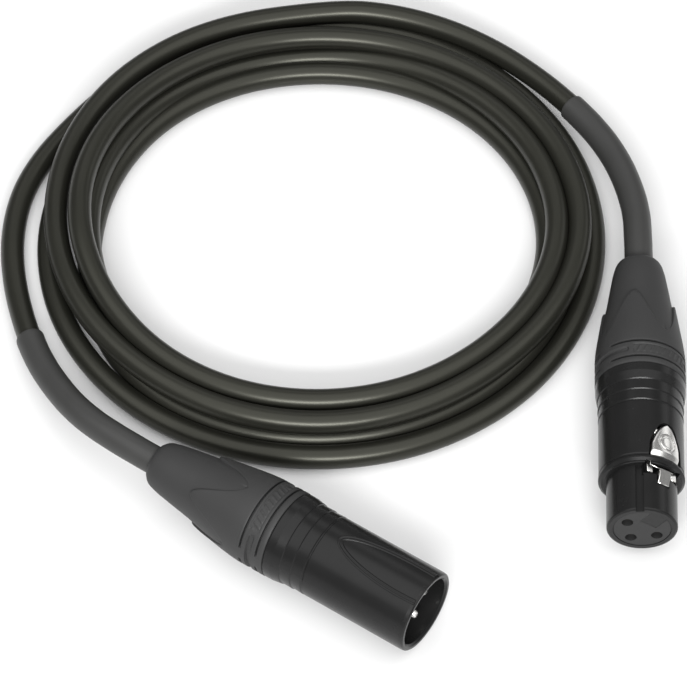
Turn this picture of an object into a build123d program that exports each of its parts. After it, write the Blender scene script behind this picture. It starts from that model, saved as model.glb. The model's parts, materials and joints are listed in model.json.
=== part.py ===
"""Coiled microphone cable with a three-pole female and a three-pole male connector.

Row frame: millimetres, +Z up, the cable and both connectors lie on Z = 0. The origin is under the
middle of the two connectors' common box. Each connector is drawn in its own frame: its plane sits on
the mating face, its normal points out of that face, and "station" is the distance behind the face.
"""

import os
from math import cos, pi, radians, sin, tan

from build123d import *

os.makedirs("parts", exist_ok=True)

# ---------------------------------------------------------------- driving dimensions, mm and degrees
CABLE_D = 5.6
SHRINK_D = 6.7
SHRINK_IN_BOOT = 9.0  # how far each heat-shrink sleeve reaches into its boot

COLLAR_R = 10.46
AXIS_HEIGHT = COLLAR_R  # both connectors lie on their boots' widest ring
SHELL_R = 9.72
NOSE_R = 8.0
FLANGE_R = 9.8

FEMALE_FACE = (49.55, -22.55)
FEMALE_HEADING = -92.05
FEMALE_EDGE = 39.2  # station of the joint between shell and boot
FEMALE_BOOT_ROLL = 0.0
NOSE_LENGTH = 12.2
FLANGE_THICKNESS = 1.6

MALE_FACE = (1.0, -44.74)
MALE_HEADING = -34.0
MALE_EDGE = 36.9
MALE_BOOT_ROLL = 32.5
SOCKET_R = 8.15
SOCKET_DEPTH = 13.0

BOOT_LENGTH = 35.8
BOOT_BORE_R = 3.65
RING_PITCH = 2.8
GROOVE_WIDTH = 0.4
GROOVE_DEPTH = 0.9
FIRST_GROOVE = 1.55  # from the boot's front edge
SECOND_GROOVE = 5.85
SCOOPS = 4
SCOOP_ANGLE = 57.5  # of the first scoop's middle, on a boot that isn't rolled
SCOOP_MIDDLE = 16.6  # the scoops' edge runs from front to rear of this by their reach
SCOOP_REACH = 5.65

INSERT_R = 6.5
INSERT_SEAT_R = 7.5  # the wider part of both inserts, held in the shell's bore
INSERT_BACK = 21.0  # station of both inserts' rear faces
SHELL_BORE_R = 7.6
CONTACT_CIRCLE_R = 4.15
CONTACT_FRONT = 1.8
CONTACT_BORE_R = 1.22
CONTACT_BORE_END = 14.0
CONTACT_HOLE_R = 1.32  # of the holes in the female insert's face
CONTACT_R = 1.75
PIN_R = 1.19
PIN_TIP = 2.7  # station of the pins' rounded tips
PIN_ROOT_R = 1.5
CUP_R = 1.55
CUP_BORE_R = 0.95
CUP_FLOOR = 22.0
CUP_BACK = 25.0

PANEL_HALF_WIDTH = 5.0  # the blank oval panel on the male shell, cut off by its rim
PANEL_HALF_LENGTH = 18.4
PANEL_MIDDLE = 5.0
PANEL_DEPTH = 0.3
PANEL_ANGLE = 88.5

LATCH_ANGLE = 56.0  # direction of the push tab, anticlockwise from the right, seen from the front
MALE_LATCH_ANGLE = 97.0
KEYWAY_OFFSET = 41.0
LATCH_PIVOT_STATION = 22.0
LATCH_PIVOT_HEIGHT = 7.3
LATCH_PIN_R = 0.5
RUNNING_GAP = 0.05

THREAD_R = 8.5
THREAD_LENGTH = 6.0
THREAD_BORE_LENGTH = 6.3
CHUCK_R = 6.9
JACKET_END = 8.5  # the jacket is stripped back to this distance in front of the boot's edge
CORE_R = 0.55


# ---------------------------------------------------------------- frames and small helpers
def connector_frame(face, heading):
    """The plane of a mating face: normal out of the face, x to the right, y up, seen from outside."""
    outward = Vector(cos(radians(heading)), sin(radians(heading)), 0)
    return Plane(origin=(*face, AXIS_HEIGHT), x_dir=Vector(0, 0, 1).cross(outward), z_dir=outward)


def behind(frame, station):
    """The cross-section plane at a station."""
    return frame.offset(-station)


def profile_plane(frame):
    """The plane that turned profiles are drawn on, as (radius, station)."""
    return Plane(origin=frame.origin, x_dir=frame.x_dir, z_dir=frame.y_dir)


def facing_plane(frame, angle, height=0.0):
    """A plane facing out at an angle round the axis, with sketches drawn as (side, station)."""
    outward = frame.x_dir * cos(radians(angle)) + frame.y_dir * sin(radians(angle))
    side = outward.cross(frame.z_dir)
    return Plane(origin=frame.origin + outward * height, x_dir=side, z_dir=outward)


def axis_of(frame):
    return Axis(frame.origin, frame.z_dir)


def turn(frame, outline, mode=Mode.ADD):
    """Add or cut a turned shape whose half outline is a list of (radius, station)."""
    with BuildSketch(profile_plane(frame)) as profile:
        with BuildLine():
            Polyline(*outline, close=True)
        make_face()
    revolve(profile.sketch, axis=axis_of(frame), mode=mode)


def slab(frame, angle, side, low, high, start, end, mode=Mode.ADD):
    """A box at an angle round the axis: its width, its range of heights and its range of stations."""
    with BuildSketch(facing_plane(frame, angle, low)) as footprint:
        with Locations((0, (start + end) / 2)):
            Rectangle(side, end - start)
    extrude(footprint.sketch, amount=high - low, mode=mode)


def finish(piece, name):
    piece.part.label = name
    export_step(piece.part, f"parts/{name}.step")


FEMALE = connector_frame(FEMALE_FACE, FEMALE_HEADING)
MALE = connector_frame(MALE_FACE, MALE_HEADING)


# ---------------------------------------------------------------- shells
def shell_back(edge):
    """Outer profile of both shells from the third ring groove back to the boot."""
    first = edge - 10.3
    outline = [(SHELL_R, first - 0.2)]
    for index, radius in enumerate((9.78, 9.88, 10.05)):
        start = first + index * RING_PITCH
        outline += [(radius - 0.22, start), (radius - 0.22, start + 0.25), (radius, start + 0.45)]
    outline += [(10.36, edge - 2.2), (10.4, edge - 0.3), (10.2, edge)]
    return outline


def thread_bore(edge):
    """Inner profile of both shells' rear end, bored out for the gland nut."""
    wide = THREAD_R + RUNNING_GAP
    return [(wide, edge), (wide, edge - THREAD_BORE_LENGTH), (SHELL_BORE_R, edge - THREAD_BORE_LENGTH)]


def latch_window(frame):
    """Openings for the push tab behind the flange and for the hook in front of it."""
    with BuildSketch(facing_plane(frame, LATCH_ANGLE, 6.2)) as window:
        bullet_outline(4.5, NOSE_LENGTH + FLANGE_THICKNESS, 9.6)
    extrude(window.sketch, amount=6, mode=Mode.SUBTRACT)
    slab(frame, LATCH_ANGLE, 9.5, 5.5, 8.1, NOSE_LENGTH - 0.2, 15.0, mode=Mode.SUBTRACT)
    slab(frame, LATCH_ANGLE, 9.2, 5.5, 9.5, NOSE_LENGTH - 2.3, NOSE_LENGTH, mode=Mode.SUBTRACT)
    slab(frame, LATCH_ANGLE, 3.5, 5.5, 9.5, NOSE_LENGTH - 4.9, NOSE_LENGTH, mode=Mode.SUBTRACT)
    slab(frame, LATCH_ANGLE, 5.0, 6.0, 8.8, 16.0, LATCH_PIVOT_STATION + 1.6, mode=Mode.SUBTRACT)


def bullet_outline(half_width, start, length):
    """A push tab's outline: square at the flange, pointed at the back."""
    shoulder = start + 0.35 * length
    tip = start + length
    with BuildLine() as outline:
        Line((-half_width, start), (half_width, start))
        Line((half_width, start), (half_width * 0.96, shoulder))
        Spline((half_width * 0.96, shoulder), (half_width * 0.66, start + 0.72 * length), (0, tip),
               tangents=((-0.1, 1), (-1, 0)))
        Spline((-half_width * 0.96, shoulder), (-half_width * 0.66, start + 0.72 * length), (0, tip),
               tangents=((0.1, 1), (1, 0)))
        Line((-half_width * 0.96, shoulder), (-half_width, start))
    make_face(outline.line)


def female_shell():
    flange_back = NOSE_LENGTH + FLANGE_THICKNESS
    outside = [(INSERT_R + RUNNING_GAP, 0), (NOSE_R - 0.5, 0), (NOSE_R - 0.12, 0.21), (NOSE_R, 0.45)]
    outside += [(NOSE_R, NOSE_LENGTH)]
    outside += [(8.75, NOSE_LENGTH), (8.85, NOSE_LENGTH + 0.25), (9.2, NOSE_LENGTH + 0.3)]
    outside += [(FLANGE_R, NOSE_LENGTH + 0.8), (FLANGE_R, flange_back - 0.35)]
    outside += [(SHELL_R - 0.12, flange_back), (SHELL_R - 0.12, flange_back + 0.3)]
    outside += [(SHELL_R, flange_back + 0.5)]
    inside = thread_bore(FEMALE_EDGE)
    inside += [(SHELL_BORE_R, 14.2), (INSERT_R + RUNNING_GAP, 14.2)]
    with BuildPart() as shell:
        turn(FEMALE, outside + shell_back(FEMALE_EDGE) + inside)
        keyway = LATCH_ANGLE + KEYWAY_OFFSET
        slab(FEMALE, keyway, 1.9, NOSE_R - 1.05, NOSE_R + 1, -1, NOSE_LENGTH - 0.2, mode=Mode.SUBTRACT)
        latch_window(FEMALE)
        slab(FEMALE, LATCH_ANGLE, 4.4, 2.2, 6.9, 0.15, 6.5)
        chuck_slot(FEMALE, FEMALE_EDGE)
    finish(shell, "female_shell")


def male_shell():
    outside = [(SOCKET_R + 0.5, 0), (SHELL_R - 0.45, 0), (SHELL_R - 0.1, 0.3), (SHELL_R, 1.0)]
    inside = thread_bore(MALE_EDGE)
    inside += [(SHELL_BORE_R, SOCKET_DEPTH + 1.2), (SOCKET_R, SOCKET_DEPTH + 1.2), (SOCKET_R, 0.5)]
    panel = label_recess()
    with BuildPart() as shell:
        turn(MALE, outside + shell_back(MALE_EDGE) + inside)
        catch = 7.6
        slab(MALE, MALE_LATCH_ANGLE, 4.6, SOCKET_R - 1, SOCKET_R + 0.85, catch, catch + 4,
             mode=Mode.SUBTRACT)
        key = MALE_LATCH_ANGLE - KEYWAY_OFFSET
        slab(MALE, key, 1.5, SOCKET_R - 0.75, SOCKET_R + 0.3, 1.2, SOCKET_DEPTH + 0.8)
        add(panel, mode=Mode.SUBTRACT)
        chuck_slot(MALE, MALE_EDGE)
    finish(shell, "male_shell")


def label_recess():
    """The space of the blank panel, sunk evenly into the top of the male shell."""
    floor_r = SHELL_R - PANEL_DEPTH
    end = PANEL_MIDDLE + PANEL_HALF_LENGTH + 1
    with BuildPart() as recess:
        with BuildSketch(facing_plane(MALE, PANEL_ANGLE, SHELL_R / 2)) as panel:
            with Locations((0, PANEL_MIDDLE)):
                Ellipse(PANEL_HALF_WIDTH, PANEL_HALF_LENGTH)
        extrude(panel.sketch, amount=SHELL_R)
        turn(MALE, [(0, -end), (floor_r, -end), (floor_r, end), (0, end)], mode=Mode.SUBTRACT)
    return recess.part


def chuck_slot(frame, edge):
    """The groove in the shell's bore that stops the chuck from turning."""
    slab(frame, 270, 2.3, 7.0, 8.4, edge - 14, edge - 1.5, mode=Mode.SUBTRACT)


# ---------------------------------------------------------------- inserts and contacts
def contact_angles(latch_angle, hand):
    """Pins 1, 2 and 3 sit a quarter turn either side of the latch and opposite it."""
    return [latch_angle - 90 * hand, latch_angle + 90 * hand, latch_angle + 180]


def contact_plane(frame, angle, station):
    """A cross-section plane centred on one contact."""
    offset = frame.x_dir * cos(radians(angle)) + frame.y_dir * sin(radians(angle))
    centre = frame.origin + offset * CONTACT_CIRCLE_R - frame.z_dir * station
    return Plane(origin=centre, x_dir=frame.x_dir, z_dir=frame.z_dir)


def rod(frame, angle, radius, start, end, mode=Mode.ADD):
    """A round bar on a contact's centre line between two stations."""
    with BuildSketch(contact_plane(frame, angle, end)) as section:
        Circle(radius)
    extrude(section.sketch, amount=end - start, mode=mode)


def female_insert():
    with BuildPart() as insert:
        turn(FEMALE, [(0, 0.1), (INSERT_R - 0.1, 0.1), (INSERT_R, 0.2), (INSERT_R, 14.3),
                      (INSERT_SEAT_R, 14.3), (INSERT_SEAT_R, INSERT_BACK), (0, INSERT_BACK)])
        slab(FEMALE, LATCH_ANGLE, 4.5, 2.15, 8, -1, 6.6, mode=Mode.SUBTRACT)
        slab(FEMALE, LATCH_ANGLE, 12, 4.9, 9, 6.5, 24, mode=Mode.SUBTRACT)
        for angle in contact_angles(LATCH_ANGLE, 1):
            rod(FEMALE, angle, CONTACT_HOLE_R, -1, CONTACT_FRONT + 0.2, mode=Mode.SUBTRACT)
            rod(FEMALE, angle, CONTACT_R, CONTACT_FRONT, INSERT_BACK + 1, mode=Mode.SUBTRACT)
    finish(insert, "female_insert")


def female_contact(number, angle):
    with BuildPart() as contact:
        rod(FEMALE, angle, CONTACT_R, CONTACT_FRONT, INSERT_BACK)
        rod(FEMALE, angle, CUP_R, INSERT_BACK, CUP_BACK)
        rod(FEMALE, angle, CONTACT_BORE_R, CONTACT_FRONT - 1, CONTACT_BORE_END, mode=Mode.SUBTRACT)
        rod(FEMALE, angle, CUP_BORE_R, CUP_FLOOR, CUP_BACK + 1, mode=Mode.SUBTRACT)
    finish(contact, f"female_contact_{number}")


def male_insert():
    back = SOCKET_DEPTH + 1.2
    with BuildPart() as insert:
        turn(MALE, [(0, SOCKET_DEPTH), (7.3, SOCKET_DEPTH), (7.3, back), (INSERT_SEAT_R, back),
                    (INSERT_SEAT_R, INSERT_BACK), (0, INSERT_BACK)])
        for angle in contact_angles(MALE_LATCH_ANGLE, -1):
            rod(MALE, angle, CONTACT_R, SOCKET_DEPTH + 0.6, INSERT_BACK + 1, mode=Mode.SUBTRACT)
            rod(MALE, angle, PIN_ROOT_R, SOCKET_DEPTH - 1, INSERT_BACK + 1, mode=Mode.SUBTRACT)
    finish(insert, "male_insert")


def male_pin(number, angle):
    """A pin with a rounded tip, a flared root in the insert's face and a solder cup behind."""
    collar = SOCKET_DEPTH + 0.6
    outline = [(0, PIN_TIP), (0.45, PIN_TIP), (0.85, PIN_TIP + 0.25), (1.1, PIN_TIP + 0.7)]
    outline += [(PIN_R, PIN_TIP + 1.2), (PIN_R, SOCKET_DEPTH - 0.4), (PIN_ROOT_R, SOCKET_DEPTH)]
    outline += [(PIN_ROOT_R, collar), (CONTACT_R, collar), (CONTACT_R, INSERT_BACK)]
    outline += [(CUP_R, INSERT_BACK), (CUP_R, CUP_BACK), (CUP_BORE_R, CUP_BACK), (CUP_BORE_R, CUP_FLOOR)]
    outline += [(0, CUP_FLOOR)]
    with BuildPart() as pin:
        turn(contact_plane(MALE, angle, 0), outline)
    finish(pin, f"male_pin_{number}")


# ---------------------------------------------------------------- latch
def female_latch():
    """Push tab, spring plate and hook in one lever that rocks on the pin behind the tab."""
    start = NOSE_LENGTH + FLANGE_THICKNESS + 0.3
    with BuildPart() as lever:
        with BuildSketch(facing_plane(FEMALE, LATCH_ANGLE, 7.1)) as tab:
            bullet_outline(4.2, start, 8.9)
        extrude(tab.sketch, amount=3)
        turn(FEMALE, [(0, 0), (SHELL_R + 0.05, 0), (SHELL_R + 0.05, 40), (0, 40)], mode=Mode.INTERSECT)
        slab(FEMALE, LATCH_ANGLE, 6.6, 6.8, 7.5, NOSE_LENGTH - 1.9, LATCH_PIVOT_STATION - 5)
        slab(FEMALE, LATCH_ANGLE, 4.4, 6.8, 7.5, NOSE_LENGTH, LATCH_PIVOT_STATION)
        slab(FEMALE, LATCH_ANGLE, 8.4, 6.8, 7.35, NOSE_LENGTH - 1.9, NOSE_LENGTH + 1.4)
        slab(FEMALE, LATCH_ANGLE, 3.0, 6.8, 9.1, NOSE_LENGTH - 4.5, NOSE_LENGTH - 1.0)
        slab(FEMALE, LATCH_ANGLE, 4.4, 6.5, 8.1, LATCH_PIVOT_STATION - 2, LATCH_PIVOT_STATION + 0.8)
        ramp = facing_plane(FEMALE, LATCH_ANGLE - 90, -2)
        with BuildSketch(ramp):
            with BuildLine():
                Polyline((-9.2, NOSE_LENGTH - 5), (-8.0, NOSE_LENGTH - 5), (-9.2, NOSE_LENGTH - 3.4),
                         close=True)
            make_face()
        extrude(amount=4, mode=Mode.SUBTRACT)
        with BuildSketch(facing_plane(FEMALE, LATCH_ANGLE - 90, -4)):
            with Locations((-LATCH_PIVOT_HEIGHT, LATCH_PIVOT_STATION)):
                Circle(LATCH_PIN_R + RUNNING_GAP)
        extrude(amount=8, mode=Mode.SUBTRACT)
    finish(lever, "female_latch")


def female_latch_pin():
    with BuildPart() as pin:
        with BuildSketch(facing_plane(FEMALE, LATCH_ANGLE - 90, -2.9)):
            with Locations((-LATCH_PIVOT_HEIGHT, LATCH_PIVOT_STATION)):
                Circle(LATCH_PIN_R)
        extrude(amount=5.8)
    finish(pin, "female_latch_pin")


def female_latch_spring():
    """A small arched leaf under the tab."""
    with BuildPart() as spring:
        with BuildSketch(facing_plane(FEMALE, LATCH_ANGLE - 90, -1.5)):
            with BuildLine():
                Polyline((-4.95, 15.0), (-6.6, 17.5), (-4.95, 20.0), (-5.25, 20.0), (-6.75, 17.6),
                         (-6.75, 17.4), (-5.25, 15.0), close=True)
            make_face()
        extrude(amount=3)
    finish(spring, "female_latch_spring")


# ---------------------------------------------------------------- boot, gland nut and chuck
def gland_nut(frame, edge, name):
    """The threaded bush inside the boot. Its thread is drawn as a plain cylinder."""
    outline = [(7.7, edge - THREAD_LENGTH), (THREAD_R, edge - THREAD_LENGTH), (THREAD_R, edge + 0.4)]
    outline += [(9.0, edge + 0.4), (9.0, edge + 9), (7.4, edge + 13), (4.2, edge + 13)]
    outline += [(4.2, edge + 12), (7.1, edge + 8), (7.7, edge + 2)]
    with BuildPart() as nut:
        turn(frame, outline)
    finish(nut, name)


def chuck(frame, edge, name):
    """A slit collet that grips the jacket. It is keyed to the shell and slides without turning."""
    start = edge - 7
    outline = [(CABLE_D / 2 + 0.06, start), (6.5, start), (CHUCK_R, start + 0.4), (CHUCK_R, edge + 7)]
    outline += [(4.3, edge + 10.6), (CABLE_D / 2 + 0.06, edge + 10.6)]
    with BuildPart() as collet:
        turn(frame, outline)
        slab(frame, 270, 2.0, 5.5, 8.05, start, start + 0.9)
        for angle in (0, 90, 180, 270):
            slab(frame, angle, 0.9, 1.0, 8, edge + 1, edge + 12, mode=Mode.SUBTRACT)
    finish(collet, name)


def boot_core(edge):
    """Half outline of the boot under its raised front layer."""
    rear = edge + BOOT_LENGTH
    outline = [(9.0, edge + 0.4), (9.3, edge + 0.02), (10.25, edge + 0.02), (COLLAR_R, edge + 0.3)]
    outline += [(COLLAR_R, edge + 7.0), (10.3, edge + 9.3), (9.75, edge + 12.0)]
    outline += [(7.62, edge + 22.6), (6.9, edge + 27.4), (6.2, rear - 4), (5.45, rear - 1.4)]
    outline += [(5.1, rear - 0.65), (4.6, rear - 0.1), (4.3, rear)]
    outline += [(BOOT_BORE_R + 0.25, rear), (BOOT_BORE_R, rear - 0.3), (BOOT_BORE_R, edge + 13)]
    outline += [(7.4, edge + 13), (9.0, edge + 9)]
    return outline


def boot(frame, edge, roll, name):
    """The soft boot: a cone under a raised layer, which four scoops cut into arches."""
    layer = [(7.2, edge + 14), (9.0, edge + 10.6), (10.3, edge + 9.3), (9.95, edge + 12.0)]
    layer += [(8.46, edge + 21.9), (8.3, edge + 22.3), (7.0, edge + 22.3)]
    rear = edge + SCOOP_MIDDLE + SCOOP_REACH
    front = edge + SCOOP_MIDDLE - SCOOP_REACH
    middle = edge + SCOOP_MIDDLE
    with BuildPart() as cover:
        turn(frame, layer)
        for index in range(SCOOPS):
            with BuildSketch(facing_plane(frame, roll + SCOOP_ANGLE + index * 360 / SCOOPS, 4.3)) as scoop:
                with BuildLine():
                    Spline((-5.9, rear), (-3.6, middle), (0, front), (3.6, middle), (5.9, rear),
                           tangents=((1, -0.4), (1, 0.4)))
                    Line((5.9, rear), (5.9, rear + 1))
                    Line((5.9, rear + 1), (-5.9, rear + 1))
                    Line((-5.9, rear + 1), (-5.9, rear))
                make_face()
            extrude(scoop.sketch, amount=8, mode=Mode.SUBTRACT)
        turn(frame, boot_core(edge))
        for station in (edge + FIRST_GROOVE, edge + SECOND_GROOVE):
            turn(frame, collar_groove(station), mode=Mode.SUBTRACT)
    finish(cover, name)


def collar_groove(station):
    """A narrow square groove round the boot's collar."""
    bottom = COLLAR_R - GROOVE_DEPTH
    top = COLLAR_R + 1
    end = station + GROOVE_WIDTH
    return [(bottom, station), (top, station), (top, end), (bottom, end)]


# ---------------------------------------------------------------- conductors and jacket ends
def strand(points, radius, name, corner=1.2):
    with BuildPart() as wire:
        with BuildLine() as path:
            FilletPolyline(*points, radius=corner)
        with BuildSketch(Plane(origin=path.line @ 0, z_dir=path.line % 0)):
            Circle(radius)
        sweep()
    finish(wire, name)


def conductor(frame, edge, angle, name):
    """One conductor from the jacket's end to its solder cup."""
    cup = contact_plane(frame, angle, 22.4).origin
    mouth = contact_plane(frame, angle, 25.6).origin
    axis_point = frame.origin - frame.z_dir * (edge - JACKET_END)
    spread = (contact_plane(frame, angle, 0).origin - frame.origin) * 0.32
    strand([cup, mouth, axis_point + spread + frame.z_dir * 0.8, axis_point + spread], CORE_R, name)


def jacket_end(frame, edge, name):
    """The jacketed cable inside the connector, from where it is stripped to the boot's mouth."""
    with BuildPart() as jacket:
        with BuildSketch(behind(frame, edge + BOOT_LENGTH)):
            Circle(CABLE_D / 2)
        extrude(amount=BOOT_LENGTH + JACKET_END)
    finish(jacket, name)


# ---------------------------------------------------------------- the free cable
# Both routes run from a boot to the coil: straight out of the boot, down, and along the ground or
# over the coil. The boot's own mouth comes before the first point.
FEMALE_LEAD = [
    (52.56, 61.4, 10.46), (52.4, 71.45, 9.3), (50.0, 83.45, 7.9), (45.8, 94.35, 6.7),
    (39.4, 104.55, 5.9), (31.0, 114.45, 5.6), (20.6, 123.45, 5.8), (8.6, 130.25, 6.4),
    (-4.6, 134.45, 7.0), (-18.6, 135.85, 7.3),
]
MALE_LEAD = [
    (-66.73, 0.95, 10.46), (-75.7, 8.85, 9.0), (-82.2, 17.75, 6.9), (-88.1, 28.95, 4.7),
    (-92.2, 41.15, 3.2), (-95.2, 53.75, 2.8), (-96.4, 66.55, 2.8), (-94.9, 79.65, 2.8),
    (-90.3, 91.05, 2.8), (-83.1, 101.85, 2.8), (-74.5, 112.45, 2.8),
]
COIL_INNER_CENTRE = (-22.7, 68.45)
COIL_INNER = (52.8, 48.6)
COIL_OUTER_CENTRE = (-22.1, 69.15)
COIL_OUTER = (67.8, 69.7)
COIL_HEIGHT = 11.0  # two layers of cable
COIL_TOP_ROUNDING = 3.0
COIL_FOOT_ROUNDING = 2.0


def mouth_of(frame, edge, beyond=0.0):
    return frame.origin - frame.z_dir * (edge + BOOT_LENGTH + beyond)


def corner_radii(points):
    """Each corner's arc is as large as its two runs allow."""
    radii = []
    for before, here, after in zip(points, points[1:], points[2:]):
        first = Vector(*here) - Vector(*before)
        second = Vector(*after) - Vector(*here)
        half_turn = radians(first.get_angle(second)) / 2
        radii.append(0.45 * min(first.length, second.length) / tan(half_turn))
    return radii


def lead(frame, edge, route, name):
    """The free cable from a boot's mouth to the coil."""
    points = [tuple(mouth_of(frame, edge))] + route
    radii = corner_radii(points)
    print(name, "corner radii", [round(radius, 1) for radius in radii])
    with BuildPart() as tube:
        with BuildLine() as path:
            FilletPolyline(*points, radius=radii)
        with BuildSketch(Plane(origin=path.line @ 0, z_dir=path.line % 0)):
            Circle(CABLE_D / 2)
        sweep()
    length = sum(edge.length for edge in path.line.edges())
    print(name, "length", round(length, 1), "volume ratio",
          round(tube.part.volume / (length * pi * CABLE_D**2 / 4), 4))
    finish(tube, name)


def heat_shrink(frame, edge, route, last_run, name):
    """A sleeve shrunk on the cable, from inside the boot's mouth to a share of the fifth run."""
    corners = 4
    points = [tuple(mouth_of(frame, edge))] + route
    radii = corner_radii(points)[:corners]
    last = Vector(*points[corners]) + (Vector(*points[corners + 1]) - Vector(*points[corners])) * last_run
    start = tuple(mouth_of(frame, edge, -SHRINK_IN_BOOT))
    sleeve_points = [start] + points[1:corners + 1] + [tuple(last)]
    with BuildPart() as sleeve:
        with BuildLine() as path:
            FilletPolyline(*sleeve_points, radius=radii)
        with BuildSketch(Plane(origin=path.line @ 0, z_dir=path.line % 0)):
            Circle(SHRINK_D / 2)
            Circle(CABLE_D / 2, mode=Mode.SUBTRACT)
        sweep()
    finish(sleeve, name)


def coil():
    """The outer shape of all the turns lying on and beside each other."""
    with BuildPart() as bundle:
        with BuildSketch():
            with Locations(COIL_OUTER_CENTRE):
                Ellipse(*COIL_OUTER)
            with Locations(COIL_INNER_CENTRE):
                Ellipse(*COIL_INNER, mode=Mode.SUBTRACT)
        extrude(amount=COIL_HEIGHT)
        fillet(bundle.edges().group_by(Axis.Z)[-1], radius=COIL_TOP_ROUNDING)
        fillet(bundle.edges().group_by(Axis.Z)[0], radius=COIL_FOOT_ROUNDING)
    finish(bundle, "cable_coil")


# ---------------------------------------------------------------- build
female_shell()
female_insert()
for number, angle in enumerate(contact_angles(LATCH_ANGLE, 1), start=1):
    female_contact(number, angle)
female_latch()
female_latch_pin()
female_latch_spring()
male_shell()
male_insert()
for number, angle in enumerate(contact_angles(MALE_LATCH_ANGLE, -1), start=1):
    male_pin(number, angle)

for end, frame, edge, roll, latch_angle, hand in (
    ("female", FEMALE, FEMALE_EDGE, FEMALE_BOOT_ROLL, LATCH_ANGLE, 1),
    ("male", MALE, MALE_EDGE, MALE_BOOT_ROLL, MALE_LATCH_ANGLE, -1),
):
    gland_nut(frame, edge, f"{end}_gland_nut")
    chuck(frame, edge, f"{end}_chuck")
    boot(frame, edge, roll, f"{end}_boot")
    jacket_end(frame, edge, f"{end}_jacket_end")
    for use, angle in zip(("shield_drain", "core_hot", "core_cold"), contact_angles(latch_angle, hand)):
        conductor(frame, edge, angle, f"{end}_{use}")

lead(FEMALE, FEMALE_EDGE, FEMALE_LEAD, "cable_lead_female")
lead(MALE, MALE_EDGE, MALE_LEAD, "cable_lead_male")
heat_shrink(FEMALE, FEMALE_EDGE, FEMALE_LEAD, 0.95, "heat_shrink_female")
heat_shrink(MALE, MALE_EDGE, MALE_LEAD, 0.46, "heat_shrink_male")
coil()
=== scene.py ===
"""Coiled microphone cable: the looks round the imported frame.

Sizes are in millimetres and degrees, and MM turns them into Blender's metres. On a connector a
place is a station, which is the distance behind the mating face, with an angle and a radius round
the axis.
"""

import json
from math import asin, cos, hypot, pi, radians, sin, sqrt

import bmesh
import bpy
import numpy as np
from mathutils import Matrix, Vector, noise


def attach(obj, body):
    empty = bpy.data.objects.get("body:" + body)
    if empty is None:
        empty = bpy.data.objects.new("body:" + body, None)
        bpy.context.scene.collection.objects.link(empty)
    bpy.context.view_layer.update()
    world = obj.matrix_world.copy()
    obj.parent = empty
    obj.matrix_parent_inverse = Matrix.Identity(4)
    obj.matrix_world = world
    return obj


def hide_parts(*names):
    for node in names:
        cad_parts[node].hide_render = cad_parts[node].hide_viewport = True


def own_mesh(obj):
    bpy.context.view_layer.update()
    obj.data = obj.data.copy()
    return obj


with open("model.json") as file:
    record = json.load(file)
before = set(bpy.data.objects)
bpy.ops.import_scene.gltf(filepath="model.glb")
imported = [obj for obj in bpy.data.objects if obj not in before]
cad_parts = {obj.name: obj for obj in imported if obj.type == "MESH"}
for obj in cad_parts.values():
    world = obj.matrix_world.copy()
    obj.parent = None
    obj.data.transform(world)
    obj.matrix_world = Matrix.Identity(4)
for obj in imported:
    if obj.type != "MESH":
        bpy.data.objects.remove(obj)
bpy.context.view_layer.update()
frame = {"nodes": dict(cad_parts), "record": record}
MM = 0.001

# ---------------------------------------------------------------- sizes
CABLE_D = 5.6
SHRINK_D = 6.7
SHRINK_IN_BOOT = 9.0
FEMALE_SLEEVE = 56.0  # length of each heat-shrink sleeve outside its boot
MALE_SLEEVE = 52.0

SHELL_R = 9.72
COLLAR_R = 10.46
BOOT_LENGTH = 35.8
BOOT_BORE_R = 3.65
FEMALE_EDGE = 39.2  # station of the joint between shell and boot
MALE_EDGE = 36.9
MALE_BOOT_ROLL = 32.5
LATCH_ANGLE = 56.0

# The free cable from each boot to the coil.
FEMALE_LEAD = [
    (52.56, 61.4, 10.46), (52.4, 71.45, 9.3), (50.0, 83.45, 7.9), (45.8, 94.35, 6.7),
    (39.4, 104.55, 5.9), (31.0, 114.45, 5.6), (20.6, 123.45, 5.8), (8.6, 130.25, 6.4),
    (-4.6, 134.45, 7.0), (-18.6, 135.85, 7.3),
]
MALE_LEAD = [
    (-66.73, 0.95, 10.46), (-75.7, 8.85, 9.0), (-82.2, 17.75, 6.9), (-88.1, 28.95, 4.7),
    (-92.2, 41.15, 3.2), (-95.2, 53.75, 2.8), (-96.4, 66.55, 2.8), (-94.9, 79.65, 2.8),
    (-90.3, 91.05, 2.8), (-83.1, 101.85, 2.8), (-74.5, 112.45, 2.8),
]
COIL_CENTRE = (-22.85, 66.48)
# Each turn of the coil from the back round by the left, as (radius, height of the centreline) every
# eighth of a turn. The first two lie mostly on top, and the last goes over into the male lead.
TURNS = [
    [
        (69.1, 7.3), (68.0, 8.0), (63.9, 8.3), (60.0, 8.4),
        (59.3, 8.4), (59.5, 8.4), (63.4, 8.0), (62.5, 7.8),
    ],
    [
        (60.8, 7.7), (59.5, 10.5), (58.0, 13.4), (54.5, 8.8),
        (52.8, 8.3), (54.0, 8.3), (57.8, 8.0), (57.2, 7.0),
    ],
    [
        (58.5, 2.8), (57.5, 5.2), (56.0, 8.0), (54.9, 3.2),
        (53.2, 2.8), (54.0, 2.8), (55.6, 2.8), (54.6, 2.8),
    ],
    [
        (53.4, 2.8), (54.6, 2.8), (55.4, 2.8), (60.5, 2.8),
        (59.4, 2.8), (60.2, 2.8), (61.3, 2.8), (62.4, 2.8),
    ],
    [
        (64.1, 2.8), (64.4, 2.8), (65.8, 2.8), (66.0, 2.8),
        (65.0, 2.8), (65.9, 2.8), (66.7, 2.8), (67.8, 2.8),
    ],
    [(69.7, 2.8), (70.9, 2.8)],
]
POINTS_PER_EIGHTH = 2
COIL_START, EIGHTH = 90.0, 45.0  # degrees: the back of the coil, and one step of the list


# ---------------------------------------------------------------- frames of the two connectors
def mount(name):
    return next(entry for entry in frame["record"]["mounts"] if entry["name"] == name)


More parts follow.
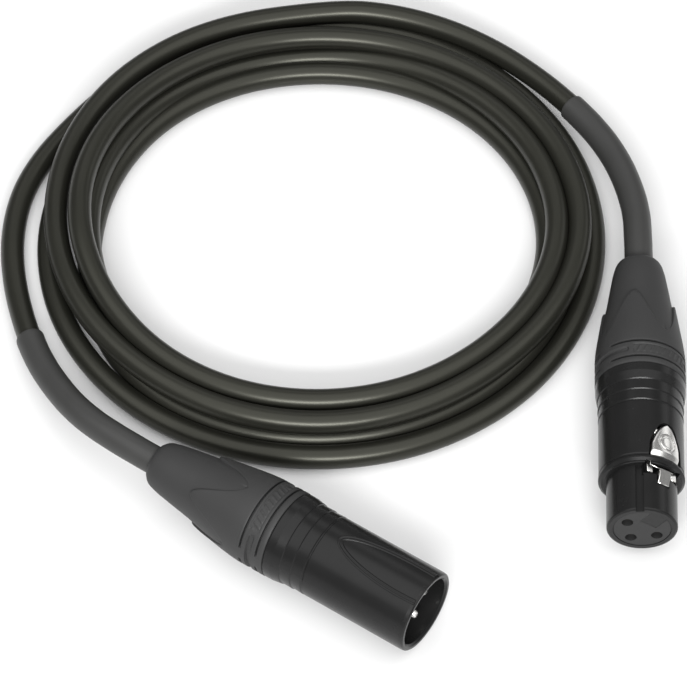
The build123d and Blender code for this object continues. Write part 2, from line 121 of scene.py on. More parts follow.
class Connector:
    """A plug's own frame, from its mating face."""

    def __init__(self, end, face, outward, edge, boot_roll):
        self.end = end
        self.face = Vector(face)
        self.outward = Vector(outward).normalized()
        self.up = Vector((0, 0, 1))
        self.right = self.up.cross(self.outward)
        self.edge = edge
        self.boot_roll = boot_roll

    def across(self, angle):
        """The direction away from the axis at an angle, anticlockwise from the right."""
        return self.right * cos(radians(angle)) + self.up * sin(radians(angle))

    def at(self, station, angle=0.0, radius=0.0):
        return self.face + (self.across(angle) * radius - self.outward * station) * MM

    def facing(self, angle, side, height, station):
        """A point beside and above the axis, for flat things that face out at an angle."""
        out = self.across(angle)
        beside = out.cross(self.outward)
        return self.face + (out * height + beside * side - self.outward * station) * MM

    def mouth(self, inside=0.0):
        return self.at(self.edge + BOOT_LENGTH - inside)


nose = mount("female_nose")
socket = mount("male_socket")
female = Connector("female", nose["pos_m"], nose["axis"], FEMALE_EDGE, 0.0)
male = Connector("male", socket["pos_m"], socket["axis"], MALE_EDGE, MALE_BOOT_ROLL)


# ---------------------------------------------------------------- materials
BUMP_STRENGTH = 0.6
FINE_DETAIL, SLOW_DETAIL = 3, 4


def material(name, colour, roughness, metallic=0.0, grain=0.3, depth=0.01, mottle=0.12, patch=6.0,
             **sockets):
    """A finish with fine grain in its bump and slow patches in its colour and roughness.

    grain and patch are sizes in millimetres, depth is the grain's height, and mottle is a share.
    Any other socket of the shader is set by its name, with underscores for spaces.
    """
    made = bpy.data.materials.new(name)
    made.use_nodes = True
    nodes, links = made.node_tree.nodes, made.node_tree.links
    shader = nodes["Principled BSDF"]
    shader.inputs["Metallic"].default_value = metallic
    for socket_name, value in sockets.items():
        shader.inputs[socket_name.replace("_", " ")].default_value = value
    place = nodes.new("ShaderNodeTexCoord")

    def noise_of(size, detail):
        texture = nodes.new("ShaderNodeTexNoise")
        texture.inputs["Scale"].default_value = 1 / (size * MM)
        texture.inputs["Detail"].default_value = detail
        links.new(place.outputs["Object"], texture.inputs["Vector"])
        return texture.outputs["Fac"]

    fine = noise_of(grain, FINE_DETAIL)
    slow = noise_of(patch, SLOW_DETAIL)
    bump = nodes.new("ShaderNodeBump")
    bump.inputs["Strength"].default_value = BUMP_STRENGTH
    bump.inputs["Distance"].default_value = depth * MM
    links.new(fine, bump.inputs["Height"])
    links.new(bump.outputs["Normal"], shader.inputs["Normal"])
    tint = nodes.new("ShaderNodeMix")
    tint.data_type = "RGBA"
    tint.inputs["A"].default_value = (*(channel * (1 - mottle) for channel in colour), 1)
    tint.inputs["B"].default_value = (*(min(channel * (1 + mottle), 1) for channel in colour), 1)
    links.new(slow, tint.inputs["Factor"])
    links.new(tint.outputs["Result"], shader.inputs["Base Color"])
    gloss = nodes.new("ShaderNodeMapRange")
    gloss.inputs["To Min"].default_value = roughness * (1 - mottle)
    gloss.inputs["To Max"].default_value = roughness * (1 + mottle)
    links.new(slow, gloss.inputs["Value"])
    links.new(gloss.outputs["Result"], shader.inputs["Roughness"])
    return made


jacket = material("jacket_pvc", (0.011, 0.011, 0.0088), 0.34, grain=0.28, depth=0.009, mottle=0.15,
                  patch=25.0, Specular_IOR_Level=0.36, Specular_Tint=(1.0, 1.0, 0.86, 1.0))
shell_black = material("shell_black", (0.010, 0.010, 0.010), 0.26, grain=0.22, depth=0.005,
                       mottle=0.15, Specular_IOR_Level=0.20)
boot_rubber = material("boot_rubber", (0.027, 0.027, 0.027), 0.55, grain=0.25, depth=0.010,
                       mottle=0.06, Specular_IOR_Level=0.30)
shrink = material("shrink_sleeve", (0.034, 0.034, 0.033), 0.42, grain=0.9, depth=0.010, mottle=0.10,
                  patch=9.0, Specular_IOR_Level=0.30)
insert_grey = material("insert_grey", (0.024, 0.024, 0.024), 0.5, grain=0.2, depth=0.008,
                       Specular_IOR_Level=0.2)
insert_black = material("insert_black", (0.006, 0.006, 0.006), 0.4, grain=0.2, depth=0.008,
                        Specular_IOR_Level=0.3)
plate = material("contact_plate", (0.10, 0.08, 0.05), 0.35, 1.0, grain=0.3, depth=0.004)
chrome = material("latch_chrome", (0.78, 0.77, 0.75), 0.24, 1.0, grain=0.25, depth=0.006,
                  mottle=0.08)
steel = material("spring_steel", (0.55, 0.55, 0.55), 0.28, 1.0, grain=0.3, depth=0.004)
brass = material("gland_metal", (0.45, 0.44, 0.42), 0.3, 1.0, grain=0.4, depth=0.005)
pale = material("chuck_plastic", (0.70, 0.70, 0.66), 0.45, grain=0.4, depth=0.01)
red = material("core_red", (0.45, 0.02, 0.02), 0.4, grain=0.2, depth=0.005)
white = material("core_white", (0.75, 0.75, 0.72), 0.4, grain=0.2, depth=0.005)
copper = material("drain_wire", (0.70, 0.42, 0.26), 0.3, 1.0, grain=0.15, depth=0.01)


def paint(obj, made):
    obj.data.materials.clear()
    obj.data.materials.append(made)
    return obj


# Finish by the kind of a node, which is its name without the first word and the number.
FINISHES = {
    "shell": shell_black, "gland_nut": brass, "chuck": pale, "boot": boot_rubber,
    "jacket_end": jacket, "shield_drain": copper, "core_hot": red, "core_cold": white,
    "latch": chrome, "latch_pin": steel, "latch_spring": steel, "pin": chrome, "contact": plate,
    "shrink_female": shrink, "shrink_male": shrink,
    "coil": jacket, "lead_female": jacket, "lead_male": jacket,
}
INSERT_FINISHES = {"female_insert": insert_grey, "male_insert": insert_black}
for node, obj in frame["nodes"].items():
    kind = node.split("_", 1)[1].rstrip("_123")
    paint(obj, INSERT_FINISHES.get(node) or FINISHES[kind])


# ---------------------------------------------------------------- mesh helpers
def smoothstep(value):
    value = min(max(value, 0.0), 1.0)
    return value * value * (3 - 2 * value)


def linked(name, data):
    """An object of that name in the scene."""
    obj = bpy.data.objects.new(name, data)
    bpy.context.scene.collection.objects.link(obj)
    return obj


def piece_of(work, data, made, sharp):
    """Turn a bmesh into a painted piece, its normals outward and its edges sharp above an angle."""
    bmesh.ops.recalc_face_normals(work, faces=work.faces)
    work.to_mesh(data)
    work.free()
    data.shade_smooth()
    data.set_sharp_from_angle(angle=radians(sharp))
    return paint(linked(data.name, data), made)


def mesh_object(name, vertices, faces, made, sharp=35.0):
    data = bpy.data.meshes.new(name)
    data.from_pydata([tuple(vertex) for vertex in vertices], [], faces)
    work = bmesh.new()
    work.from_mesh(data)
    return piece_of(work, data, made, sharp)


def ring_faces(rings, around, closed=True):
    """Quads between rings of points. A closed set of rings joins its last ring to its first."""
    faces = []
    for ring in range(rings if closed else rings - 1):
        here, there = ring * around, (ring + 1) % rings * around
        for step in range(around):
            after = (step + 1) % around
            faces.append((here + step, here + after, there + after, there + step))
    return faces


def capped_faces(rings, around):
    """Quads between open rings of points, and a face over each end."""
    last = (rings - 1) * around
    caps = [tuple(range(around)), tuple(range(last, last + around))[::-1]]
    return ring_faces(rings, around, closed=False) + caps


# ---------------------------------------------------------------- boots
# Profiles are (distance behind the boot's front edge, radius). The layer lies over the core and
# ends in arches.
BOOT_LAYER = [
    (0.3, COLLAR_R), (7.0, COLLAR_R), (9.3, 10.3), (12.0, 9.95), (21.9, 8.46), (23.0, 8.3),
]
BOOT_CORE = [
    (0.3, COLLAR_R), (7.0, COLLAR_R), (9.3, 10.28), (12.0, 9.75), (22.6, 7.62), (27.4, 6.9),
    (31.8, 6.2), (34.2, 5.6), (34.9, 5.25), (35.4, 4.85), (BOOT_LENGTH, 4.3),
]
BOOT_FRONT = [(0.4, 9.0), (0.02, 9.3), (0.02, 10.2), (0.1, 10.38)]
BOOT_TAIL_ROWS = (29.5, 31.0, 32.2, 33.2, 34.0, 34.5, 34.9, 35.2, 35.45, 35.65)
BOOT_TAIL_REACH = 0.25
BOOT_INSIDE = [
    (35.78, 4.4), (BOOT_LENGTH, 4.1), (35.75, BOOT_BORE_R + 0.15), (35.4, BOOT_BORE_R),
    (13.0, BOOT_BORE_R), (13.0, 7.4), (9.0, 9.0),
]
BOOT_COLUMNS = 360
LAYER_START, CORE_END = 7.2, 28.0
LAYER_ROWS, CORE_ROWS = 18, 16
LAYER_STOP, CORE_START = 0.3, 0.15  # distances before and behind the arch's line
ARCHES = 4
ARCH_PEAK = 102.5  # angle of an arch's point on a boot that isn't rolled
ARCH_MIDDLE = 16.6
ARCH_REACH = 5.65
# The layer's edge as (distance behind the arch's line, share of the layer's thickness left).
ARCH_STEP = ((-0.15, 0.97), (-0.05, 0.85), (0.0, 0.6), (0.03, 0.0))
PIT_DEPTH, PIT_R = 0.3, 0.4
PIT_SHELL_R = 10.0  # radius of the boot at the pits
PIT_INNER_R = 9.5  # only the outside has pits
SLITS = (1.75, 6.05)
SLIT_DEPTH = 0.9
SLIT_LIP = 0.05
SLIT_HALF_WIDTHS = (0.38, 0.28, 0.24)  # at the collar, at the lip and at the floor
SLIT_START, SLIT_SPAN = -25.0, 160.0
COLLAR_FRONT_ROWS = (0.3, 0.8)
COLLAR_END = 6.7
PATTERN_START, PATTERN_END, PATTERN_STEP = 2.3, 5.55, 0.14  # rows between the slits
GRIP_START, GRIP_SPAN = 26.0, 76.0
GRIP_DEPTH = 0.16
GRIP_HALF_WIDTH, RIB_HALF_WIDTH = 1.3, 0.95
GRIP_SOFT = 0.12
RIB_PITCH, RIB_SHARE, RIB_SLANT = 1.5, 0.46, 0.45
COMMA_START, COMMA_SPAN = 112.0, 86.0
COMMA_LEAD_IN = 20.0
COMMA_MIDDLE = 3.9
COMMA_HALF_WIDTH = 0.8
COMMA_DEPTH, COMMA_DEEPER = 0.40, 0.35
COMMA_RAMP, COMMA_SOFT = 9.0, 0.3
HALF_TURN = 180.0  # the collar's pattern comes twice round


def radius_at(profile, behind_edge, reach=0.5):
    """The radius of a profile, eased over its corners."""
    stations, radii = zip(*profile)
    samples = [behind_edge + reach * step for step in (-1, -0.5, 0, 0.5, 1)]
    return float(np.mean(np.interp(samples, stations, radii)))


def span_window(angle, start, span, soft):
    """1 in a span of angles that comes twice round, rising from 0 over soft degrees at each end."""
    inside = (angle - start) % HALF_TURN
    return smoothstep(min(inside, span - inside) / soft)


def comma_depth(angle, behind_edge):
    """The finger groove between the slits, round at its right end and deeper to the left."""
    turned = (angle - COMMA_START + COMMA_LEAD_IN) % HALF_TURN - COMMA_LEAD_IN
    along = turned * radians(1) * COLLAR_R
    length = COMMA_SPAN * radians(1) * COLLAR_R
    beyond = max(-along, along - length, 0.0)
    distance = hypot(beyond, behind_edge - COMMA_MIDDLE)
    depth = COMMA_DEPTH + COMMA_DEEPER * smoothstep(along / COMMA_RAMP)
    return depth * smoothstep((COMMA_HALF_WIDTH - distance) / COMMA_SOFT)


def grip_depth(angle, behind_edge):
    """A sunk band with slanted ribs, level with the collar, where the finger turns the boot."""
    offset = behind_edge - COMMA_MIDDLE
    edges = smoothstep((GRIP_HALF_WIDTH - abs(offset)) / GRIP_SOFT)
    edges *= span_window(angle, GRIP_START, GRIP_SPAN, 1.0)
    phase = (angle % HALF_TURN * radians(1) * COLLAR_R + RIB_SLANT * offset) / RIB_PITCH % 1
    rib = smoothstep((RIB_SHARE / 2 - abs(phase - 0.5)) / GRIP_SOFT)
    rib *= smoothstep((RIB_HALF_WIDTH - abs(offset)) / GRIP_SOFT)
    return GRIP_DEPTH * edges * (1 - rib)


def collar_rows(angle):
    """Outline of the collar from the front edge to behind the second slit."""
    rows = [(behind_edge, COLLAR_R) for behind_edge in COLLAR_FRONT_ROWS]
    for index, middle in enumerate(SLITS):
        slit = SLIT_DEPTH * span_window(angle, SLIT_START, SLIT_SPAN, 2.0)
        lip = min(slit, SLIT_LIP)
        side = list(zip(SLIT_HALF_WIDTHS, (COLLAR_R, COLLAR_R - lip, COLLAR_R - slit)))
        rows += [(middle - offset, radius) for offset, radius in side]
        rows += [(middle + offset, radius) for offset, radius in side[::-1]]
        if index == 0:
            for behind_edge in np.arange(PATTERN_START, PATTERN_END, PATTERN_STEP):
                sunk = max(comma_depth(angle, behind_edge), grip_depth(angle, behind_edge))
                rows.append((float(behind_edge), COLLAR_R - sunk))
    return rows + [(COLLAR_END, COLLAR_R)]


def boot_outline(rolled):
    """Outline at one angle as (distance behind the front edge, radius), outside and then inside."""
    angle = rolled % 360
    edge = ARCH_MIDDLE + ARCH_REACH * cos(ARCHES * radians(angle - ARCH_PEAK))
    rows = BOOT_FRONT + collar_rows(angle)
    for behind_edge in np.linspace(LAYER_START, edge - LAYER_STOP, LAYER_ROWS):
        rows.append((behind_edge, radius_at(BOOT_LAYER, behind_edge)))
    layer, core = radius_at(BOOT_LAYER, edge), radius_at(BOOT_CORE, edge)
    for offset, share in ARCH_STEP:
        rows.append((edge + offset, core + share * (layer - core)))
    for behind_edge in np.linspace(edge + CORE_START, CORE_END, CORE_ROWS):
        rows.append((behind_edge, radius_at(BOOT_CORE, behind_edge)))
    for behind_edge in BOOT_TAIL_ROWS:
        rows.append((behind_edge, radius_at(BOOT_CORE, behind_edge, BOOT_TAIL_REACH)))
    return rows + BOOT_INSIDE


def tip_pit(angle, behind_edge):
    """The small hollow at the foremost point of each scoop."""
    pitch = 360 / ARCHES
    from_tip = ((angle - ARCH_PEAK) % pitch - pitch / 2) * radians(1) * PIT_SHELL_R
    tip = ARCH_MIDDLE - ARCH_REACH
    return PIT_DEPTH * smoothstep(1 - hypot(from_tip, behind_edge - tip) / PIT_R)


def boot(plug):
    """The soft boot, as rings from its front edge over the outside and back through the inside."""
    angles = [step * 360 / BOOT_COLUMNS for step in range(BOOT_COLUMNS)]
    columns = [boot_outline(angle - plug.boot_roll) for angle in angles]
    vertices = []
    for row in range(len(columns[0])):
        for angle, column in zip(angles, columns):
            behind_edge, radius = column[row]
            if behind_edge < ARCH_MIDDLE and radius > PIT_INNER_R:
                radius -= tip_pit(angle - plug.boot_roll, behind_edge)
            vertices.append(plug.at(plug.edge + behind_edge, angle, radius))
    faces = ring_faces(len(columns[0]), BOOT_COLUMNS)
    piece = mesh_object(f"{plug.end}_boot_cover", vertices, faces, boot_rubber)
    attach(piece, f"{plug.end}_boot")
    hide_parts(f"{plug.end}_boot")


# ---------------------------------------------------------------- latch
TAB_START = 14.1
TAB_LENGTH = 8.9
TAB_HALF_WIDTH = 4.2
TAB_SHOULDER = 0.35  # share of the length that is straight
TAB_TAPER = 0.04  # share of the width lost along the straight part
TAB_ROUNDNESS = 1.13
TAB_FOOT = 7.1
TAB_LEFT_GAP = 0.35
TAB_PROUD = 0.04
TAB_SECTIONS, TAB_ACROSS = 64, 49
TAB_SIDE_BEVEL = (0.55, 0.65)  # depth and width
TAB_FRONT_BEVEL = (0.5, 1.3)
MEDAL_GROOVE = (0.14, 0.28)  # depth and half width
MEDAL_RISE, MEDAL_EDGE = 0.05, 0.5
TAB_TIP_SHARE, TAB_TIP_HALF_WIDTH = 0.9995, 0.05
MEDAL_STATION = TAB_START + 0.45 * TAB_LENGTH
MEDAL_R = 2.05
LEVER_LOW, LEVER_HIGH = 6.8, 7.5
LUG_FRONT, PLATE_FRONT, PLATE_BACK = 10.3, 12.1, 17.0
PLATE_WIDTH = 6.6
LUG_SIDE, LUG_WIDTH, LUG_HIGH = 3.3, 1.5, 7.4
LUG_OVERLAP = 1.0  # how far a lug runs into the plate
HOOK_FRONT, HOOK_BACK = 7.7, 11.0
HOOK_WIDTH, HOOK_HIGH = 3.0, 9.1
HOOK_DROP = 1.1  # how far the hook's front is lower than its back
ARM_SIDE, ARM_WIDTH = 1.75, 0.9
LEVER_BEVEL = 0.12
LEVER_SHARP = 50.0
PIVOT_STATION = 22.0
PIVOT_HEIGHT = 7.3
ARM_END = PIVOT_STATION - 0.5
# Section of the eye round the pivot pin, as (radius, place along the pin).
EYE_SECTION = [(0.56, -2.2), (0.85, -2.2), (0.9, -2.1), (0.9, 2.1), (0.85, 2.2), (0.56, 2.2)]
EYE_STEPS = 32
BLOCK_FACES = (
    (0, 1, 3, 2), (4, 6, 7, 5), (0, 4, 5, 1), (2, 3, 7, 6), (0, 2, 6, 4), (1, 5, 7, 3),
)


def tab_half_width(share):
    """Half the push tab's width at a share of its length: straight sides, then a round point."""
    if share < TAB_SHOULDER:
        return TAB_HALF_WIDTH * (1 - TAB_TAPER * share / TAB_SHOULDER)
    past = (share - TAB_SHOULDER) / (1 - TAB_SHOULDER)
    return (1 - TAB_TAPER) * TAB_HALF_WIDTH * sqrt(max(1 - past**TAB_ROUNDNESS, 0.0))


def tab_height(side, station, half_width):
    """Height of the tab over the axis: the shell's curve, bevelled, with a blank medallion."""
    height = sqrt((SHELL_R + TAB_PROUD) ** 2 - side**2)
    from_medal = hypot(side, station - MEDAL_STATION)
    for (depth, width), distance in (
        (TAB_SIDE_BEVEL, half_width - abs(side)),
        (TAB_FRONT_BEVEL, station - TAB_START),
        (MEDAL_GROOVE, abs(from_medal - MEDAL_R)),
    ):
        height -= depth * smoothstep(1 - distance / width)
    return height + MEDAL_RISE * smoothstep((MEDAL_R - MEDAL_EDGE - from_medal) / MEDAL_EDGE)


def push_tab():
    """The chromed tab as sections along its length, each from foot over face to foot."""
    vertices = []
    for section in range(TAB_SECTIONS):
        share = min(section / (TAB_SECTIONS - 1), TAB_TIP_SHARE)
        station = TAB_START + share * TAB_LENGTH
        half_width = max(tab_half_width(share), TAB_TIP_HALF_WIDTH)
        left = half_width - TAB_LEFT_GAP * smoothstep(half_width / TAB_HALF_WIDTH)
        vertices.append(female.facing(LATCH_ANGLE, -left, TAB_FOOT, station))
        for step in range(TAB_ACROSS):
            side = (half_width + left) * step / (TAB_ACROSS - 1) - left
            height = tab_height(side, station, half_width)
            vertices.append(female.facing(LATCH_ANGLE, side, height, station))
        vertices.append(female.facing(LATCH_ANGLE, half_width, TAB_FOOT, station))
    return vertices, capped_faces(TAB_SECTIONS, TAB_ACROSS + 2)


def block(work, width, low, high, start, end, middle=0.0):
    """Add a box that faces out at the latch's angle to a bmesh, and give back its vertices.

    It is made on the latch's middle line, then moved sideways to its own middle.
    """
    corners = [
        work.verts.new(female.facing(LATCH_ANGLE, across, height, station))
        for station in (start, end) for height in (low, high) for across in (-width / 2, width / 2)
    ]
    for face in BLOCK_FACES:
        work.faces.new([corners[index] for index in face])
    shift = female.facing(LATCH_ANGLE, middle, 0, 0) - female.face
    bmesh.ops.translate(work, verts=corners, vec=shift)
    return corners


def eye_ring(work):
    """Add the round eye that turns on the pivot pin to a bmesh."""
    turns = [step * 2 * pi / EYE_STEPS for step in range(EYE_STEPS)]
    loops = []
    for radius, side in EYE_SECTION:
        loops.append([
            work.verts.new(female.facing(LATCH_ANGLE, side, PIVOT_HEIGHT + radius * cos(turn),
                                         PIVOT_STATION + radius * sin(turn)))
            for turn in turns
        ])
    for loop, beyond in zip(loops, loops[1:] + loops[:1]):
        for step in range(EYE_STEPS):
            after = (step + 1) % EYE_STEPS
            work.faces.new((loop[step], loop[after], beyond[after], beyond[step]))


def latch():
    """Push tab, spring plates, ramped hook and the eye round the pivot pin, as one lever."""
    vertices, faces = push_tab()
    tab = mesh_object("latch_tab", vertices, faces, chrome)
    work = bmesh.new()
    block(work, PLATE_WIDTH, LEVER_LOW, LEVER_HIGH, PLATE_FRONT, PLATE_BACK)
    for middle in (-LUG_SIDE, LUG_SIDE):
        block(work, LUG_WIDTH, LEVER_LOW, LUG_HIGH, LUG_FRONT, PLATE_FRONT + LUG_OVERLAP, middle)
    hook = block(work, HOOK_WIDTH, LEVER_LOW, HOOK_HIGH, HOOK_FRONT, HOOK_BACK)
    for corner in hook[2:4]:
        corner.co -= female.across(LATCH_ANGLE) * HOOK_DROP * MM
    for middle in (-ARM_SIDE, ARM_SIDE):
        block(work, ARM_WIDTH, LEVER_LOW, LEVER_HIGH, PLATE_BACK, ARM_END, middle)
    bmesh.ops.bevel(work, geom=work.edges[:], offset=LEVER_BEVEL * MM, segments=3, affect="EDGES")
    eye_ring(work)
    lever = piece_of(work, bpy.data.meshes.new("latch_lever"), chrome, LEVER_SHARP)
    for piece in (tab, lever):
        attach(piece, "female_latch")
    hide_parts("female_latch")


# ---------------------------------------------------------------- panel on the male shell
PANEL_HALF_WIDTH = 5.0
PANEL_HALF_LENGTH = 18.4
PANEL_MIDDLE = 5.0
PANEL_ANGLE = 88.5
# Section of the raised rim round the panel, as (distance in from its edge, height over the shell).
RIM_SECTION = [
    (-0.03, -0.4), (-0.03, -0.02), (0.1, 0.05), (0.24, 0.07), (0.38, 0.03), (0.52, -0.12),
    (0.66, -0.16), (0.78, -0.08), (0.9, -0.02), (1.02, -0.04), (1.16, -0.16), (1.3, -0.29),
    (1.3, -0.4),
]
RIM_SECTIONS = 160
RIM_START = 0.45  # station where the oval is cut by the shell's mouth
RIM_FRONT = 0.35  # foremost station of the rim
RIM_SHARP = 60.0


def panel_rim():
    """The double bead round the blank panel, which runs out at the shell's rim."""
    first = -asin((PANEL_MIDDLE - RIM_START) / PANEL_HALF_LENGTH)
    vertices = []
    for section in range(RIM_SECTIONS):
        turn = first + (pi - 2 * first) * section / (RIM_SECTIONS - 1)
        edge_side, edge_station = PANEL_HALF_WIDTH * cos(turn), PANEL_HALF_LENGTH * sin(turn)
        inward = -Vector((cos(turn) / PANEL_HALF_WIDTH, sin(turn) / PANEL_HALF_LENGTH)).normalized()
        for inset, rise in RIM_SECTION:
            side = edge_side + inward.x * inset
            height = sqrt((SHELL_R + rise) ** 2 - side**2)
            station = max(PANEL_MIDDLE + edge_station + inward.y * inset, RIM_FRONT)
            vertices.append(male.facing(PANEL_ANGLE, side, height, station))
    faces = capped_faces(RIM_SECTIONS, len(RIM_SECTION))
    piece = mesh_object("male_panel_rim", vertices, faces, shell_black, RIM_SHARP)
    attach(piece, "root")


# ---------------------------------------------------------------- spring under the push tab
SPRING_FRONT, SPRING_BACK = 15.1, 19.9
SPRING_FEET, SPRING_CROWN = 5.1, 6.55
SPRING_HALF_WIDTH, SPRING_HALF_THICKNESS = 1.45, 0.1
SPRING_STEPS = 24
SPRING_SHARP = 50.0


def latch_spring():
    """A small arched leaf."""
    corners = ((-1, -1), (1, -1), (1, 1), (-1, 1))
    vertices = []
    for step in range(SPRING_STEPS + 1):
        share = step / SPRING_STEPS
        middle = SPRING_FEET + (SPRING_CROWN - SPRING_FEET) * sin(pi * share)
        station = SPRING_FRONT + (SPRING_BACK - SPRING_FRONT) * share
        for side, level in corners:
            height = middle + level * SPRING_HALF_THICKNESS
            vertices.append(female.facing(LATCH_ANGLE, side * SPRING_HALF_WIDTH, height, station))
    faces = capped_faces(SPRING_STEPS + 1, len(corners))
    piece = mesh_object("latch_leaf", vertices, faces, steel, SPRING_SHARP)
    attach(piece, "root")
    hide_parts("female_latch_spring")
    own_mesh(piece)


# ---------------------------------------------------------------- the cable
CURVE_STEPS, BEVEL_STEPS = 12, 10
SLEEVE_AROUND = 48
SLEEVE_GAP = 0.02  # between the cable and the sleeve
SLEEVE_ENDING = (0.25, 0.4)  # the lip's rings, past the sleeve's length
SLEEVE_LIP = (-0.04, -0.22)  # and the change of radius at each
RIPPLE, RIPPLE_PITCH, RIPPLE_SCALE = 0.035, 5, 1.2


def wound():
    """The coil's own points: the turns' radii and heights, eased between the eighths."""
    eighths = [entry for turn in TURNS for entry in turn]
    points = []
    for index in range(len(eighths) - 1):
        around = [eighths[min(max(index + step, 0), len(eighths) - 1)] for step in (-1, 0, 1, 2)]
        for step in range(POINTS_PER_EIGHTH):
            share = step / POINTS_PER_EIGHTH
            radius = eased(share, *(entry[0] for entry in around))
            height = eased(share, *(entry[1] for entry in around))
            angle = radians(COIL_START + EIGHTH * (index + share))
            x, y = COIL_CENTRE[0] + radius * cos(angle), COIL_CENTRE[1] + radius * sin(angle)
            points.append((x, y, max(height, CABLE_D / 2)))
    return points


def eased(share, before, start, end, after):
    """Catmull and Rom's curve through start and end."""
    return start + 0.5 * share * (
        end - before + share * (2 * before - 5 * start + 4 * end - after
                                + share * (3 * (start - end) + after - before)))


def nurbs(name, points, radius):
    """A NURBS curve with those control points, in metres, as a round cord of that radius."""
    data = bpy.data.curves.new(name, "CURVE")
    data.dimensions = "3D"
    spline = data.splines.new("NURBS")
    spline.points.add(len(points) - 1)
    for point, place in zip(spline.points, points):
        point.co = (*place, 1)
    spline.order_u = 3
    spline.use_endpoint_u = True
    data.resolution_u = CURVE_STEPS
    data.bevel_depth = radius
    data.bevel_resolution = BEVEL_STEPS
    data.use_fill_caps = True
    return linked(name, data)


def centreline(control):
    """Points along the NURBS curve with those control points."""
    bare = nurbs("bare", control, 0.0)
    bare.data.use_fill_caps = False
    mesh = bpy.data.meshes.new_from_object(bare)
    points = [vertex.co.copy() for vertex in mesh.vertices]
    bpy.data.objects.remove(bare)
    return points


def stretch(points, length):
    """The first length of a line of points."""
    kept, walked = [points[0]], 0.0
    for before, after in zip(points, points[1:]):
        step = (after - before).length
        if walked + step >= length:
            return kept + [before.lerp(after, (length - walked) / step)]
        walked += step
        kept.append(after)
    return kept


def sleeve(plug, line, length):
    """Heat-shrink sleeve on the cable, from inside the boot, with a rounded lip at its free end."""
    path = [plug.mouth(SHRINK_IN_BOOT), plug.mouth(SHRINK_IN_BOOT / 2)] + stretch(line, length * MM)
    ending = (path[-1] - path[-2]).normalized()
    path += [path[-1] + ending * offset * MM for offset in SLEEVE_ENDING]
    lip = [0.0] * (len(path) - len(SLEEVE_LIP)) + list(SLEEVE_LIP)
    rings, walked = [], 0.0
    side = Vector((0, 0, 1)).cross(path[1] - path[0]).normalized()
    for index, centre in enumerate(path):
        ahead = (path[min(index + 1, len(path) - 1)] - path[max(index - 1, 0)]).normalized()
        side = (side - ahead * side.dot(ahead)).normalized()
        rings.append((centre, side.copy(), ahead.cross(side), walked))
        if index + 1 < len(path):
            walked += (path[index + 1] - centre).length
    outer, inner = [], []
    for (centre, side, up, walked), lip_step in zip(rings, lip):
        outside, inside = [], []
        for step in range(SLEEVE_AROUND):
            turn = step * 2 * pi / SLEEVE_AROUND
            out = side * cos(turn) + up * sin(turn)
            place = Vector((cos(turn), sin(turn), walked / MM / RIPPLE_PITCH))
            ripple = RIPPLE * noise.noise(place * RIPPLE_SCALE)
            outside.append(centre + out * (SHRINK_D / 2 + ripple + lip_step) * MM)
            inside.append(centre + out * (CABLE_D / 2 + SLEEVE_GAP) * MM)
        outer += outside
        inner = inside + inner
    faces = ring_faces(2 * len(rings), SLEEVE_AROUND)
    piece = mesh_object(f"{plug.end}_sleeve", outer + inner, faces, shrink)
    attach(piece, "root")
    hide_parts(f"heat_shrink_{plug.end}")
    return piece


free = FEMALE_LEAD + wound()[1:] + MALE_LEAD[::-1]
route = [female.mouth()] + [Vector(point) * MM for point in free] + [male.mouth()]
cable = paint(nurbs("cable", route, CABLE_D / 2 * MM), jacket)
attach(cable, "root")
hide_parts("cable_coil", "cable_lead_female", "cable_lead_male")
line = centreline(route)
sleeves = [sleeve(female, line, FEMALE_SLEEVE), sleeve(male, line[::-1], MALE_SLEEVE)]

boot(female)
boot(male)
latch()
latch_spring()
panel_rim()


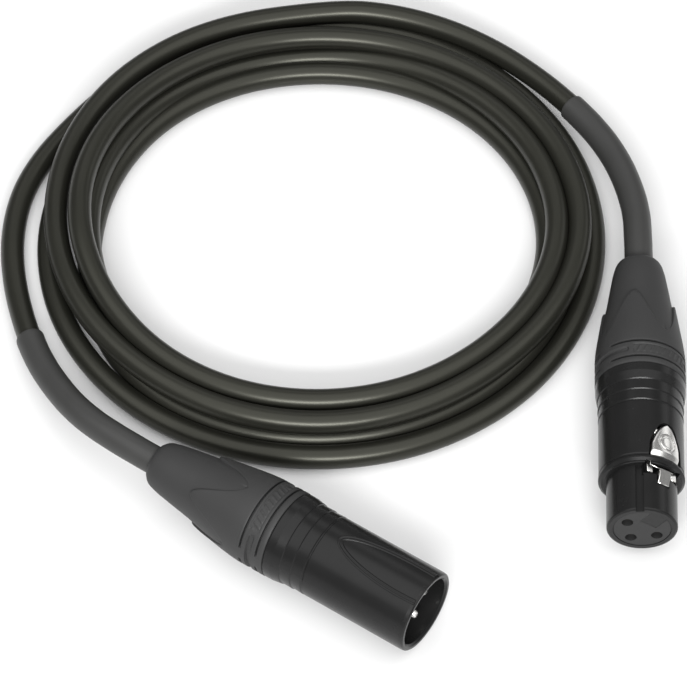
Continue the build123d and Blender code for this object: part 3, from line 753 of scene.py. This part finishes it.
# ---------------------------------------------------------------- floor, light and camera
CAMERA_LENS, CAMERA_SENSOR = 198.514, 36
CAMERA_PLACE = (-0.01715, -0.509315, 0.722967)  # metres
CAMERA_TILT = 37  # degrees up from straight down


def studio_floor():
    """A flat pale floor with a weak glow of its own."""
    half = 3.0
    corners = [(-half, -half, 0), (half, -half, 0), (half, half, 0), (-half, half, 0)]
    data = bpy.data.meshes.new("floor")
    data.from_pydata(corners, [], [(0, 1, 2, 3)])
    floor = linked("floor", data)
    finish = material("floor_white", (0.62, 0.62, 0.62), 0.25, grain=2.0, depth=0.0, mottle=0.0,
                      Emission_Color=(1.0, 1.0, 1.0, 1.0), Emission_Strength=0.10)
    paint(floor, finish)


def studio_world(strength):
    world = bpy.data.worlds.new("studio")
    bpy.context.scene.world = world
    world.use_nodes = True
    background = world.node_tree.nodes["Background"]
    background.inputs["Color"].default_value = (1, 1, 1, 1)
    background.inputs["Strength"].default_value = strength


def softbox(name, place, target, width, depth, radiance):
    """A rectangular area light of that radiance, facing its target. Places are in metres."""
    data = bpy.data.lights.new(name, "AREA")
    data.shape = "RECTANGLE"
    data.size = width
    data.size_y = depth
    data.energy = radiance * pi * width * depth
    lamp = linked(name, data)
    lamp.location = place
    lamp.rotation_euler = (Vector(target) - Vector(place)).to_track_quat("-Z", "Y").to_euler()


def studio_camera():
    """The camera, which looks down on the coil from the front."""
    data = bpy.data.cameras.new("camera")
    data.lens = CAMERA_LENS
    data.sensor_fit = "VERTICAL"
    data.sensor_height = CAMERA_SENSOR
    camera = linked("camera", data)
    camera.location = CAMERA_PLACE
    camera.rotation_euler = (radians(CAMERA_TILT), 0, 0)
    bpy.context.scene.camera = camera


studio_floor()
studio_world(0.22)
softbox("overhead", (0.0, -0.4, 1.0), (0.0, -0.4, 0), 2.4, 1.8, 1.7)
softbox("front", (-0.05, -1.2, 0.9), (-0.02, 0.05, 0), 0.9, 0.22, 40.0)
softbox("back", (0.0, 1.2, 1.0), (0.0, 0.05, 0.0), 1.4, 0.4, 1.0)
softbox("right", (1.1, 0.75, 0.45), (0.05, 0.0, 0.0), 0.5, 0.4, 1.1)
studio_camera()
bpy.context.scene.view_settings.view_transform = "Standard"
